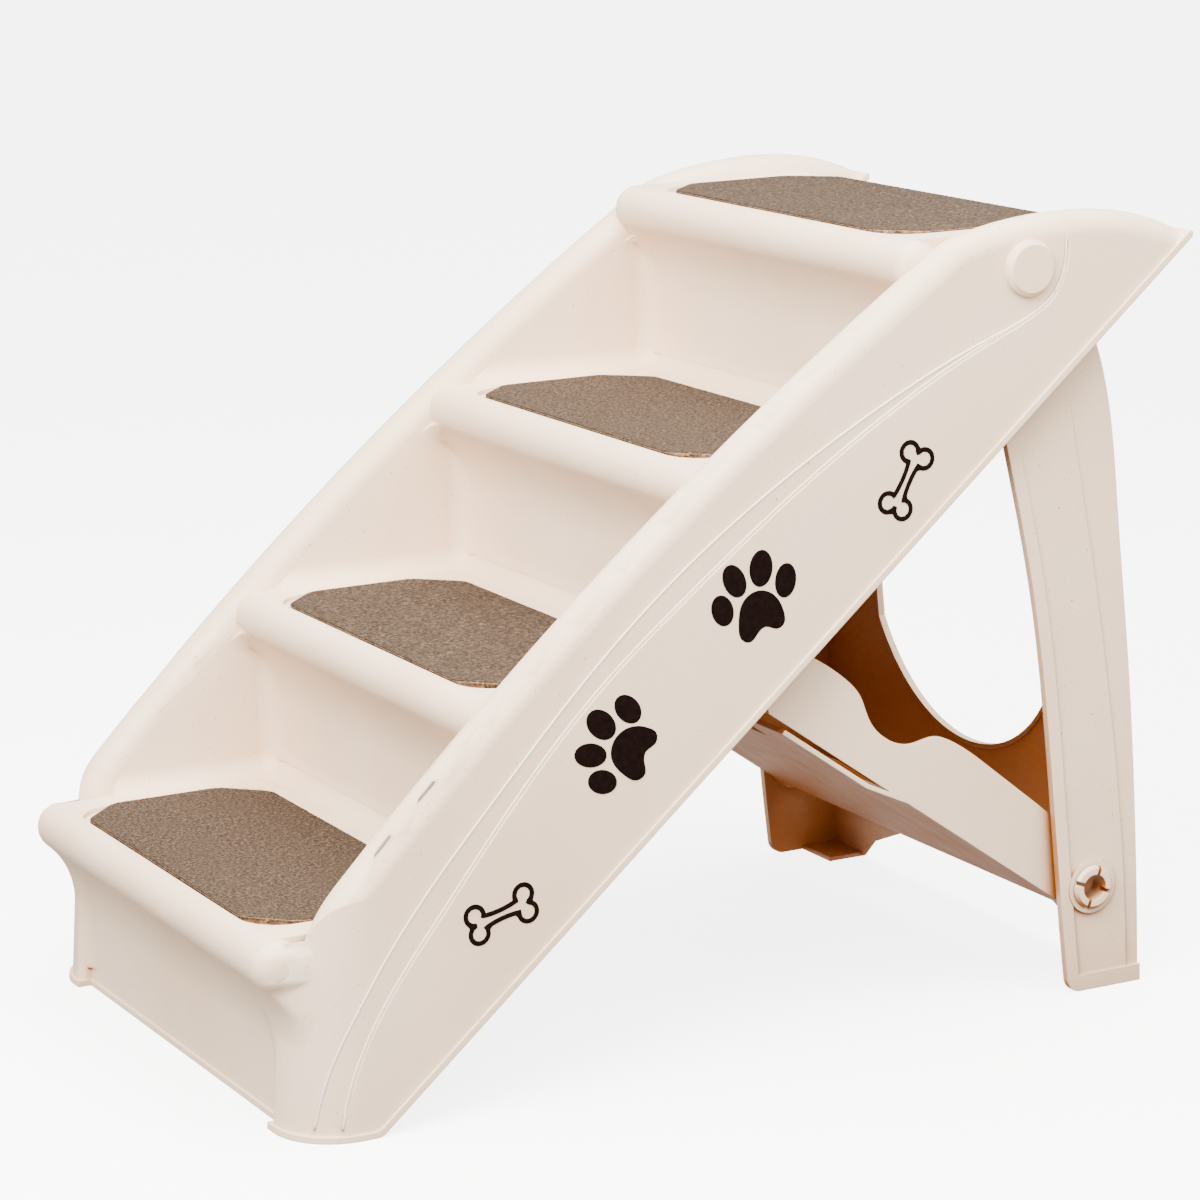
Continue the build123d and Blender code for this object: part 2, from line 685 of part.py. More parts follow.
def brace_low(reach):
    """Height of a flange's lower edge at a reach along the brace."""
    fall = BRACE_LOW_END_SHARE - BRACE_LOW_START_SHARE
    return BRACE_HUB_RADIUS * (BRACE_LOW_START_SHARE + fall * reach / HOOK_REACH)


def hook_slot():
    """The slot that drops over a peg, open below and wider towards the pin, where the peg leaves it."""
    half = PEG_RADIUS + PEG_CLEARANCE
    bottom = PEG_Z - OVERRUN
    slot = polygon(
        (PEG_X - half, PEG_Z),
        (PEG_X + half, PEG_Z),
        (PEG_X + half + HOOK_MOUTH, bottom),
        (PEG_X - half, bottom),
    )
    return slot + Pos(PEG_X, PEG_Z) * Circle(half)


def flange_face():
    """Side view of a brace flange: hub, scalloped top edge, and hook end."""
    top = [brace_spot(x * HOOK_REACH, z * BRACE_HUB_RADIUS) for x, z in BRACE_TOP_SHARES]
    start = brace_spot(0, BRACE_HUB_RADIUS)
    end = brace_spot(HOOK_REACH, brace_low(HOOK_REACH))
    low = brace_spot(0, brace_low(0))
    face = make_face([Spline(start, *top), Polyline(top[-1], end, low, start)])
    face += Pos(BRACE_X, BRACE_Z) * Circle(BRACE_HUB_RADIUS)
    return face - hook_slot()


def brace_profile(points):
    """Side-view face from reaches and lifts along the brace."""
    return polygon(*[brace_spot(*point) for point in points])


def brace_web():
    """The sheet between the flanges, with its deeper pan and three ribs."""
    pan_start, pan_end = [share * HOOK_REACH for share in BRACE_PAN_SHARES]
    lower = [
        (0, brace_low(0)),
        (pan_start, brace_low(pan_start)),
        (pan_end, brace_low(pan_end) - BRACE_PAN),
        (BRACE_WEB_REACH, brace_low(BRACE_WEB_REACH) - BRACE_PAN),
    ]
    upper = [(reach, lift + BRACE_WALL) for reach, lift in lower[::-1]]
    ribs = [(reach, lift + BRACE_RIB) for reach, lift in lower[::-1]]
    sheet = slab(brace_profile(lower + upper), -BRACE_OUTER, BRACE_OUTER)
    for share in BRACE_RIB_SHARES:
        middle = share * BRACE_OUTER
        sheet += slab(brace_profile(lower + ribs), middle - BRACE_WALL / 2, middle + BRACE_WALL / 2)
    notch, deep = BRACE_WEB_REACH - BRACE_WEB_NOTCH, brace_low(HOOK_REACH) - BRACE_HUB_RADIUS
    cut = brace_profile([(notch, deep), (notch, 0), (HOOK_REACH, 0), (HOOK_REACH, deep)])
    notch_half = BRACE_OUTER - BRACE_ARM_WIDTH
    return sheet - slab(cut, -notch_half, notch_half)


def snap_pin():
    """The split pin on the +Y flange: a hollow stub in four prongs with a barbed lip."""
    seat = SNAP_SEAT + SNAP_AXIAL_CLEARANCE
    end = seat + SNAP_BARB_LENGTH
    pin = rod(BRACE_X, BRACE_Z, SNAP_RADIUS, BRACE_OUTER - BRACE_WALL, end)
    barb = Cone(SNAP_RADIUS + SNAP_BARB, SNAP_RADIUS, SNAP_BARB_LENGTH)
    pin += Pos(BRACE_X, (seat + end) / 2, BRACE_Z) * Rot(X=-90) * barb
    collar = BRACE_HUB_RADIUS - BRACE_WALL
    pin += rod(BRACE_X, BRACE_Z, collar, BRACE_OUTER - BRACE_WALL, LEG_INNER - COLLAR_GAP)
    reach = SNAP_RADIUS + 2 * SNAP_BARB
    for turn in (SNAP_SLOT_TILT, SNAP_SLOT_TILT + 90):
        slot = Pos(BRACE_X, BRACE_Z) * Rot(Z=turn) * Rectangle(2 * reach, SNAP_SLOT)
        pin -= slab(slot, LEG_INNER + BRACE_WALL / 2, end + WALL)
    return pin


def cross_brace():
    """The brace between the legs: web, two flanges with hooks, and two snap pins."""
    pin = snap_pin()
    brace = both(flange_face(), BRACE_OUTER - BRACE_WALL, BRACE_OUTER) + brace_web()
    brace += pin + mirror(pin, Plane.XZ)
    return brace - rods(BRACE_X, BRACE_Z, SNAP_BORE, BRACE_OUTER - 2 * BRACE_WALL, SNAP_SEAT + OVERRUN)


def figure(face, x, z, turn):
    """A printed figure on the photographed cheek's lower field."""
    return slab(Pos(x, z) * Rot(Z=turn) * face, -HALF_WIDTH - DECAL_THICKNESS, -HALF_WIDTH)


def stepped(face):
    """The same outline in short straight steps, which keeps a small figure light."""
    outline = face.face().outer_wire()
    count = int(outline.length // FIGURE_STEP)
    return polygon(*[outline @ (index / count) for index in range(count)])


def paw_figure():
    """A traditional paw print: one pad and four toes."""
    points = shaped(PAD_SHARES, PAW_SIZE, PAW_SIZE)
    paw = stepped(make_face(Spline(*points, periodic=True)))
    for (x, z, half_width, half_height), tilt in zip(TOE_SHARES, TOE_TILTS):
        toe = stepped(Ellipse(half_width * PAW_SIZE, half_height * PAW_SIZE))
        paw += Pos(x * PAW_SIZE, z * PAW_SIZE) * Rot(Z=tilt) * toe
    return paw


def bone_shape(inset):
    """A bone: four lobes and a waist drawn in at its middle."""
    half, spread, lobe = BONE_LENGTH / 2, BONE_SPREAD / 2, BONE_LOBE - inset
    waist, end_waist = BONE_WAIST / 2 - inset, BONE_END_WAIST / 2 - inset
    edges = [
        ThreePointArc((-half, end_waist), (0, waist), (half, end_waist)),
        Line((half, end_waist), (half, -end_waist)),
        ThreePointArc((half, -end_waist), (0, -waist), (-half, -end_waist)),
        Line((-half, -end_waist), (-half, end_waist)),
    ]
    bone = make_face(edges)
    for x in (-half, half):
        for z in (-spread, spread):
            bone += Pos(x, z) * Circle(lobe)
    return stepped(bone)


def write(shape, name):
    """One file for each piece, with the stairs' middle at the origin."""
    export_step(Pos(-LENGTH / 2, 0, 0) * shape, f"parts/{name}.step")


write(stair_body(), "stair_body")
write(leg_frame(), "leg_frame")
write(cross_brace(), "cross_brace")
for step in range(STEPS):
    write(mat_solid(step), f"tread_mat_{step + 1}")
bone = bone_shape(0) - bone_shape(BONE_LINE)
write(figure(paw_figure(), LOWER_PAW_X, LOWER_PAW_Z, LOWER_PAW_TURN), "paw_decal_lower")
write(figure(paw_figure(), UPPER_PAW_X, UPPER_PAW_Z, UPPER_PAW_TURN), "paw_decal_upper")
write(figure(bone, LOWER_BONE_X, LOWER_BONE_Z, LOWER_BONE_TILT), "bone_decal_lower")
write(figure(bone, UPPER_BONE_X, UPPER_BONE_Z, UPPER_BONE_TILT), "bone_decal_upper")
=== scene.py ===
"""Looks of the folding pet stairs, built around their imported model."""

import json
import logging
import math
import random
from dataclasses import dataclass, field
from enum import Enum

import bmesh
import bpy
import numpy as np
from mathutils import Matrix, Vector, noise
from mathutils.bvhtree import BVHTree

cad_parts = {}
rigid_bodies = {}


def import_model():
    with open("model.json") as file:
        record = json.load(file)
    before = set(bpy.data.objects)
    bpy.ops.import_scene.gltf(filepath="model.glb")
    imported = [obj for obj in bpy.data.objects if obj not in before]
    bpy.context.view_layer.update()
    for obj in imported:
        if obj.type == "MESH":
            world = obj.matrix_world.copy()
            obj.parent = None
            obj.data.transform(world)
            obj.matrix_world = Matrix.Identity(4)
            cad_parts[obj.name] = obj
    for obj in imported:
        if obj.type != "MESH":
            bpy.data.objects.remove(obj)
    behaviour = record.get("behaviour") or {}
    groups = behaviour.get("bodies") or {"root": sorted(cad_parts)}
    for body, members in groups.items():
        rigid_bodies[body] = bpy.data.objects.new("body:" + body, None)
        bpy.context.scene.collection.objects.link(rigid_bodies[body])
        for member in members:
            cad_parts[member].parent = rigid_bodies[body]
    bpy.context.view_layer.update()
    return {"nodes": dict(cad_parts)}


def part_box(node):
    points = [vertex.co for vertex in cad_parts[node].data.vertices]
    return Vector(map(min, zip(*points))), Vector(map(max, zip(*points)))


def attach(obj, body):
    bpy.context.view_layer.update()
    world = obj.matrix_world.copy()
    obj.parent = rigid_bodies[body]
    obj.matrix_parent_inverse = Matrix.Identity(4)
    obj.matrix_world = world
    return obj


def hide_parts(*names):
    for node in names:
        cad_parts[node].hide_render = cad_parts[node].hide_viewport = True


LOG = logging.getLogger("pet_stairs")
MM = 0.001
STEPS = 4

Point = tuple[float, float, float]
Pair = tuple[float, float]
Colour = tuple[float, float, float, float]

BLACK: Colour = (0, 0, 0, 1)
GREY: Colour = (0.5, 0.5, 0.5, 1)
WHITE: Colour = (1, 1, 1, 1)


class Body(str, Enum):
    """The bodies that pieces move with."""

    STAIRS = "stairs"
    LEG = "leg"
    BRACE = "brace"


class Slot(str, Enum):
    """The record's material slots."""

    CREAM = "cream_plastic"
    CARPET = "tread_carpet"
    PRINT = "brown_print"


class Cheek(Enum):
    """The stairs' two sides, each with the sign of its place across."""

    NEAR = -1.0
    FAR = 1.0


class Recipe:
    """A material's node tree with short ways to add and join nodes."""

    NOISE_MIDDLE: Pair = (0.3, 0.7)
    MIX_INPUTS: tuple[int, int, int] = (0, 6, 7)
    MIX_RESULT: int = 2

    def __init__(self, name: str) -> None:
        """Start a material with its shader.

        Args:
            name: The material's name.
        """
        self.material = bpy.data.materials.new(name)
        self.material.use_nodes = True
        self.tree = self.material.node_tree
        self.shader = self.tree.nodes["Principled BSDF"]
        self.place = self.add("ShaderNodeTexCoord").outputs["Object"]

    def add(self, kind: str, **sockets: object) -> bpy.types.Node:
        """Add a node and set its input sockets.

        Args:
            kind: The node's type.
            sockets: Values or outputs for its inputs, with _ for a space.

        Returns:
            The new node.
        """
        node = self.tree.nodes.new(kind)
        for key, value in sockets.items():
            self.feed(node, key.replace("_", " "), value)
        return node

    def feed(self, node: bpy.types.Node, socket: str | int, value: object) -> None:
        """Set one input of a node to a value, or link an output to it.

        Args:
            node: The node.
            socket: The input's name or number.
            value: The value or the output.
        """
        if isinstance(value, bpy.types.NodeSocket):
            self.tree.links.new(value, node.inputs[socket])
        else:
            node.inputs[socket].default_value = value

    def grain(
        self, scale: float, detail: float = 2.0, rough: float = 0.5, stretch: Point = (1, 1, 1)
    ) -> object:
        """Noise through the piece.

        Args:
            scale: Cells per metre.
            detail: Octaves.
            rough: Strength of the finer octaves.
            stretch: Scale along each axis.

        Returns:
            The noise value's output.
        """
        mapping = self.add("ShaderNodeMapping", Vector=self.place, Scale=stretch)
        node = self.add("ShaderNodeTexNoise", Vector=mapping.outputs[0], Scale=scale, Detail=detail)
        node.inputs["Roughness"].default_value = rough
        return node.outputs["Fac"]

    def ramp(self, value: object, *stops: tuple[float, Colour]) -> object:
        """Colour ramp over a value.

        Args:
            value: The output that drives it.
            stops: Place and colour of each stop.

        Returns:
            The colour output.
        """
        node = self.add("ShaderNodeValToRGB", Fac=value)
        marks = node.color_ramp.elements
        while len(marks) < len(stops):
            marks.new(0.5)
        for mark, (place, colour) in zip(marks, stops):
            mark.position = place
            mark.color = colour
        return node.outputs["Color"]

    def spread(self, value: object, low: float, high: float) -> object:
        """Stretch a value from noise's middle range to a range of its own.

        Args:
            value: The noise's output.
            low: What the middle range's low end becomes.
            high: What its high end becomes.

        Returns:
            The stretched value's output.
        """
        start, end = self.NOISE_MIDDLE
        node = self.add("ShaderNodeMapRange", Value=value)
        limits = (("From Min", start), ("From Max", end), ("To Min", low), ("To Max", high))
        for key, number in limits:
            node.inputs[key].default_value = number
        return node.outputs["Result"]

    def set_shader(self, **sockets: object) -> None:
        """Set inputs of the shader, with _ for a space in their names."""
        for key, value in sockets.items():
            self.feed(self.shader, key.replace("_", " "), value)

    def blend(self, share: object, low: object, high: object) -> object:
        """Mix two colours.

        Args:
            share: How much of the second.
            low: The first colour or output.
            high: The second colour or output.

        Returns:
            The mixed colour's output.
        """
        node = self.tree.nodes.new("ShaderNodeMix")
        node.data_type = "RGBA"
        for socket, value in zip(self.MIX_INPUTS, (share, low, high)):
            self.feed(node, socket, value)
        return node.outputs[self.MIX_RESULT]

    def bump(self, height: object, depth: float, under: object = None) -> object:
        """Bump from a height.

        Args:
            height: The height's output, from 0 to 1.
            depth: What 1 stands for, in metres.
            under: The normal that the bump adds to.

        Returns:
            The normal's output.
        """
        node = self.add("ShaderNodeBump", Height=height, Strength=1.0, Distance=depth)
        if under is not None:
            self.feed(node, "Normal", under)
        return node.outputs["Normal"]


@dataclass(frozen=True)
class CreamPlastic:
    """Satin moulded plastic, finely specked, with orange-brown painted shade in its deep hollows."""

    name: str = "cream_plastic"
    pale: Colour = (0.860, 0.680, 0.505, 1)
    warm: Colour = (0.825, 0.622, 0.440, 1)
    # Painted shade: the dark orange-brown laid into corners, creases and undersides.
    hollow: Colour = (0.310, 0.090, 0.008, 1)
    speck: Colour = (0.40, 0.29, 0.20, 1)
    mottle_scale: float = 9.0
    mottle_share: Pair = (0.35, 0.70)
    speck_scale: float = 520.0
    speck_share: Pair = (0.750, 0.775)
    shine_scale: float = 38.0
    roughness: Pair = (0.36, 0.48)
    edge_radius: float = 1.2 * MM
    edge_samples: int = 6
    flow_scale: float = 22.0
    flow_depth: float = 0.30 * MM
    peel_scale: float = 900.0
    peel_depth: float = 0.05 * MM
    # Reach, mask range and samples of the occlusion that places the painted shade.
    shade_reach: float = 0.34
    shade_share: Pair = (0.10, 0.26)
    shade_samples: int = 16
    glow: float = 0.08
    glow_radius: Point = (1.0, 0.55, 0.28)
    glow_reach: float = 4.0 * MM
    index: float = 1.49
    gloss: float = 0.35

    def make(self) -> bpy.types.Material:
        """Build the material.

        Returns:
            The plastic.
        """
        recipe = Recipe(self.name)
        mottle = recipe.grain(self.mottle_scale, 3.0)
        low, high = self.mottle_share
        tone = recipe.ramp(mottle, (low, self.pale), (high, self.warm))
        low, high = self.speck_share
        specks = recipe.ramp(recipe.grain(self.speck_scale, 1.0), (low, BLACK), (high, WHITE))
        skin_tone = recipe.blend(specks, tone, self.speck)
        # Painted shade: the occlusion mask deep darkens the base colour towards the hollow colour
        # where the plastic is hemmed in.
        shade_occlusion = recipe.add("ShaderNodeAmbientOcclusion", Distance=self.shade_reach)
        shade_occlusion.samples = self.shade_samples
        low, high = self.shade_share
        deep = recipe.ramp(shade_occlusion.outputs["AO"], (low, WHITE), (high, BLACK))
        shine = recipe.spread(recipe.grain(self.shine_scale, 4.0), *self.roughness)
        soft = recipe.add("ShaderNodeBevel", Radius=self.edge_radius)
        soft.samples = self.edge_samples
        waves = recipe.grain(self.flow_scale, 1.0)
        flow = recipe.bump(waves, self.flow_depth, soft.outputs["Normal"])
        skin = recipe.bump(recipe.grain(self.peel_scale, 2.0), self.peel_depth, flow)
        recipe.set_shader(
            # Base colour with the painted shade mixed into its hollows.
            Base_Color=recipe.blend(deep, skin_tone, self.hollow),
            Roughness=shine,
            Normal=skin,
            Subsurface_Weight=self.glow,
            Subsurface_Radius=self.glow_radius,
            Subsurface_Scale=self.glow_reach,
            IOR=self.index,
            Specular_IOR_Level=self.gloss,
        )
        return recipe.material


@dataclass(frozen=True)
class HeatherCarpet:
    """Needle-punched carpet of grey, brown and pale fibres."""

    name: str = "tread_carpet"
    dark: Colour = (0.011, 0.007, 0.004, 1)
    middle: Colour = (0.036, 0.023, 0.015, 1)
    light: Colour = (0.165, 0.121, 0.086, 1)
    worn: Colour = (0.052, 0.036, 0.025, 1)
    tone_places: Point = (0.36, 0.49, 0.64)
    fibre_scale: float = 640.0
    fibre_detail: float = 4.0
    fibre_rough: float = 0.72
    fibre_stretch: float = 0.60
    fibre_depth: float = 0.8 * MM
    patch_scale: float = 260.0
    cloud_scale: float = 45.0
    cloud_share: Pair = (0.40, 0.70)
    roughness: Pair = (0.88, 1.0)
    sheen: float = 0.08
    sheen_roughness: float = 0.6
    gloss: float = 0.08

    def make(self) -> bpy.types.Material:
        """Build the material.

        Returns:
            The carpet.
        """
        recipe = Recipe(self.name)
        look = (self.fibre_scale, self.fibre_detail, self.fibre_rough)
        along = recipe.grain(*look, (self.fibre_stretch, 1.0, 1.0))
        across = recipe.grain(*look, (1.0, self.fibre_stretch, 1.0))
        patch = recipe.grain(self.patch_scale, 2.0)
        fibres = recipe.blend(patch, along, across)
        stops = zip(self.tone_places, (self.dark, self.middle, self.light))
        tone = recipe.ramp(fibres, *stops)
        low, high = self.cloud_share
        cloud = recipe.ramp(recipe.grain(self.cloud_scale, 4.0), (low, BLACK), (high, GREY))
        recipe.set_shader(
            Base_Color=recipe.blend(cloud, tone, self.worn),
            Roughness=recipe.spread(patch, *self.roughness),
            Normal=recipe.bump(fibres, self.fibre_depth),
            Sheen_Weight=self.sheen,
            Sheen_Roughness=self.sheen_roughness,
            Sheen_Tint=self.light,
            Specular_IOR_Level=self.gloss,
        )
        return recipe.material


@dataclass(frozen=True)
class GlueBacking:
    """Golden-brown backing that shows as a thin line under a mat's edge."""

    name: str = "mat_backing"
    pale: Colour = (0.46, 0.28, 0.13, 1)
    dark: Colour = (0.20, 0.10, 0.045, 1)
    tone_share: Pair = (0.38, 0.62)
    scale: float = 260.0
    roughness: Pair = (0.45, 0.75)
    depth: float = 0.2 * MM

    def make(self) -> bpy.types.Material:
        """Build the material.

        Returns:
            The backing.
        """
        recipe = Recipe(self.name)
        coarse = recipe.grain(self.scale, 4.0)
        low, high = self.tone_share
        recipe.set_shader(
            Base_Color=recipe.ramp(coarse, (low, self.dark), (high, self.pale)),
            Roughness=recipe.spread(coarse, *self.roughness),
            Normal=recipe.bump(coarse, self.depth),
        )
        return recipe.material


@dataclass(frozen=True)
class BrownPrint:
    """Near-black brown ink, a little uneven where it was pressed on."""

    name: str = "brown_print"
    deep: Colour = (0.0045, 0.0018, 0.0015, 1)
    thin: Colour = (0.0080, 0.0035, 0.0028, 1)
    tone_share: Pair = (0.40, 0.65)
    scale: float = 300.0
    roughness: Pair = (0.55, 0.75)
    tooth_scale: float = 1500.0
    tooth_depth: float = 0.02 * MM
    gloss: float = 0.04

    def make(self) -> bpy.types.Material:
        """Build the material.

        Returns:
            The ink.
        """
        recipe = Recipe(self.name)
        cover = recipe.grain(self.scale, 3.0)
        low, high = self.tone_share
        recipe.set_shader(
            Base_Color=recipe.ramp(cover, (low, self.deep), (high, self.thin)),
            Roughness=recipe.spread(cover, *self.roughness),
            Normal=recipe.bump(recipe.grain(self.tooth_scale, 2.0), self.tooth_depth),
            Specular_IOR_Level=self.gloss,
        )
        return recipe.material


@dataclass(frozen=True)
class StudioWhite:
    """Pale matt studio floor, lit from below as a light table is."""

    name: str = "studio_floor"
    pale: Colour = (0.90, 0.90, 0.90, 1)
    grey: Colour = (0.87, 0.87, 0.87, 1)
    tone_share: Pair = (0.35, 0.65)
    scale: float = 3.0
    roughness: Pair = (0.7, 0.8)
    tooth_scale: float = 200.0
    tooth_depth: float = 0.1 * MM
    light: float = 5.0

    def make(self) -> bpy.types.Material:
        """Build the material.

        Returns:
            The floor's finish.
        """
        recipe = Recipe(self.name)
        soft = recipe.grain(self.scale, 2.0)
        low, high = self.tone_share
        recipe.set_shader(
            Base_Color=recipe.ramp(soft, (low, self.pale), (high, self.grey)),
            Roughness=recipe.spread(soft, *self.roughness),
            Normal=recipe.bump(recipe.grain(self.tooth_scale, 2.0), self.tooth_depth),
            Emission_Color=WHITE,
            Emission_Strength=self.light,
        )
        return recipe.material


def turned(azimuth: float, elevation: float, roll: float = 0.0) -> Matrix:
    """Rotation that looks towards the origin from an azimuth and elevation.

    Args:
        azimuth: Degrees from the -Y side towards +X.
        elevation: Degrees above the floor.
        roll: Degrees of turn about the line of sight.

    Returns:
        A 3 by 3 rotation.
    """
    around, over, lean = (math.radians(x) for x in (azimuth, elevation, roll))
    away = math.cos(over)
    back = Vector((math.sin(around) * away, -math.cos(around) * away, math.sin(over)))
    right = Vector((math.cos(around), math.sin(around), 0))
    up = back.cross(right)
    tilted_right = math.cos(lean) * right + math.sin(lean) * up
    tilted_up = -math.sin(lean) * right + math.cos(lean) * up
    return Matrix((tilted_right, tilted_up, back)).transposed()


@dataclass
class Lamp:
    """One softbox."""

    name: str
    azimuth: float
    elevation: float
    distance: float
    size: float
    power: float
    tint: Point

    def build(self, aim: Vector) -> None:
        """Hang the softbox.

        Args:
            aim: The point that it faces.
        """
        data = bpy.data.lights.new(self.name, "AREA")
        data.shape = "SQUARE"
        data.size = self.size
        data.energy = self.power
        data.color = self.tint
        lamp = bpy.data.objects.new(self.name, data)
        facing = turned(self.azimuth, self.elevation)
        place = aim + facing @ Vector((0, 0, self.distance))
        lamp.matrix_world = Matrix.Translation(place) @ facing.to_4x4()
        bpy.context.scene.collection.objects.link(lamp)


@dataclass
class Studio:
    """Floor, sky, softboxes and the camera at the photograph's place."""

    camera_place: Point = (-1.1597, -2.1804, 0.8086)
    azimuth: float = -27.03
    elevation: float = 14.79
    roll: float = -1.24
    focal_pixels: float = 3979.2
    image_pixels: float = 1200.0
    axis_pixel: Pair = (526.43, 745.07)
    sensor: float = 36.0
    sight: float = 100.0
    aim: Point = (0.0, 0.0, 0.30)
    sky: Colour = (1.0, 0.985, 0.97, 1)
    sky_strength: float = 1.35
    ground: Colour = (0.72, 0.63, 0.55, 1)
    sky_height: float = 0.25
    backdrop_strength: float = 9.0
    floor_half: float = 12.0
    lamps: list[Lamp] = field(
        default_factory=lambda: [
            Lamp("key_softbox", -55.0, 44.0, 1.7, 1.2, 105.0, (1.0, 0.955, 0.91)),
            Lamp("side_softbox", 16.0, 50.0, 1.6, 1.2, 42.0, (1.0, 0.955, 0.91)),
            Lamp("top_softbox", 120.0, 80.0, 1.5, 1.0, 40.0, (1.0, 0.965, 0.93)),
        ]
    )

    def build(self) -> None:
        """Set up the whole studio."""
        self.build_floor()
        self.build_sky()
        for lamp in self.lamps:
            lamp.build(Vector(self.aim))
        self.build_camera()
        LOG.info("studio: floor, sky, %d softboxes, camera", len(self.lamps))

    def build_floor(self) -> None:
        """Lay the floor."""
        mesh = bpy.data.meshes.new("studio_floor")
        half = self.floor_half
        corners = [(-half, -half, 0), (half, -half, 0), (half, half, 0), (-half, half, 0)]
        mesh.from_pydata(corners, [], [(0, 1, 2, 3)])
        floor = bpy.data.objects.new("studio_floor", mesh)
        bpy.context.scene.collection.objects.link(floor)
        floor.data.materials.append(StudioWhite().make())
        floor.visible_diffuse = False
        floor.visible_glossy = False

    def build_sky(self) -> None:
        """Light the room softly from above, and show the backdrop as pale as the floor."""
        world = bpy.data.worlds.new("studio_sky")
        world.use_nodes = True
        tree = world.node_tree
        room = tree.nodes["Background"]
        place = tree.nodes.new("ShaderNodeTexCoord")
        split = tree.nodes.new("ShaderNodeSeparateXYZ")
        fade = tree.nodes.new("ShaderNodeValToRGB")
        backdrop = tree.nodes.new("ShaderNodeBackground")
        path = tree.nodes.new("ShaderNodeLightPath")
        shown = tree.nodes.new("ShaderNodeMixShader")
        fade.color_ramp.elements[0].color = self.ground
        fade.color_ramp.elements[1].color = self.sky
        fade.color_ramp.elements[1].position = self.sky_height
        tree.links.new(place.outputs["Generated"], split.inputs[0])
        tree.links.new(split.outputs["Z"], fade.inputs["Fac"])
        tree.links.new(fade.outputs["Color"], room.inputs["Color"])
        room.inputs["Strength"].default_value = self.sky_strength
        backdrop.inputs["Strength"].default_value = self.backdrop_strength
        tree.links.new(path.outputs["Is Camera Ray"], shown.inputs["Fac"])
        tree.links.new(room.outputs[0], shown.inputs[1])
        tree.links.new(backdrop.outputs[0], shown.inputs[2])
        tree.links.new(shown.outputs[0], tree.nodes["World Output"].inputs["Surface"])
        bpy.context.scene.world = world

    def build_camera(self) -> None:
        """Place the camera that was fitted to the photograph."""
        data = bpy.data.cameras.new("photo_camera")
        data.sensor_width = self.sensor
        data.lens = self.focal_pixels / self.image_pixels * self.sensor
        data.shift_x = 0.5 - self.axis_pixel[0] / self.image_pixels
        data.shift_y = self.axis_pixel[1] / self.image_pixels - 0.5
        data.clip_end = self.sight
        camera = bpy.data.objects.new("photo_camera", data)
        facing = turned(self.azimuth, self.elevation, self.roll)
        camera.matrix_world = Matrix.Translation(self.camera_place) @ facing.to_4x4()
        bpy.context.scene.collection.objects.link(camera)
        bpy.context.scene.camera = camera


def add_piece(
    mesh: bpy.types.Mesh, name: str, material: bpy.types.Material, body: Body
) -> bpy.types.Object:
    """Make a piece of a mesh, finish it and let it ride on its body.

    Args:
        mesh: The piece's mesh.
        name: The piece's name.
        material: Its finish.
        body: What it moves with.

    Returns:
        The new object.
    """
    piece = bpy.data.objects.new(name, mesh)
    bpy.context.scene.collection.objects.link(piece)
    mesh.materials.clear()
    mesh.materials.append(material)
    for face in mesh.polygons:
        face.use_smooth = True
    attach(piece, body.value)
    return piece


def dress(node: bpy.types.Object, material: bpy.types.Material) -> None:
    """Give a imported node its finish.

    Args:
        node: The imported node.
        material: The finish.
    """
    if not node.material_slots:
        node.data.materials.append(material)
    for place in node.material_slots:
        place.material = material


def round_depth(radius: float, reach: np.ndarray) -> np.ndarray:
    """How far a round has fallen back from its crown.

    Args:
        radius: The round's radius.
        reach: Distance from the crown, along the face.

    Returns:
        The depth, at most the radius.
    """
    return radius - np.sqrt(np.maximum(radius**2 - reach**2, 0.0))


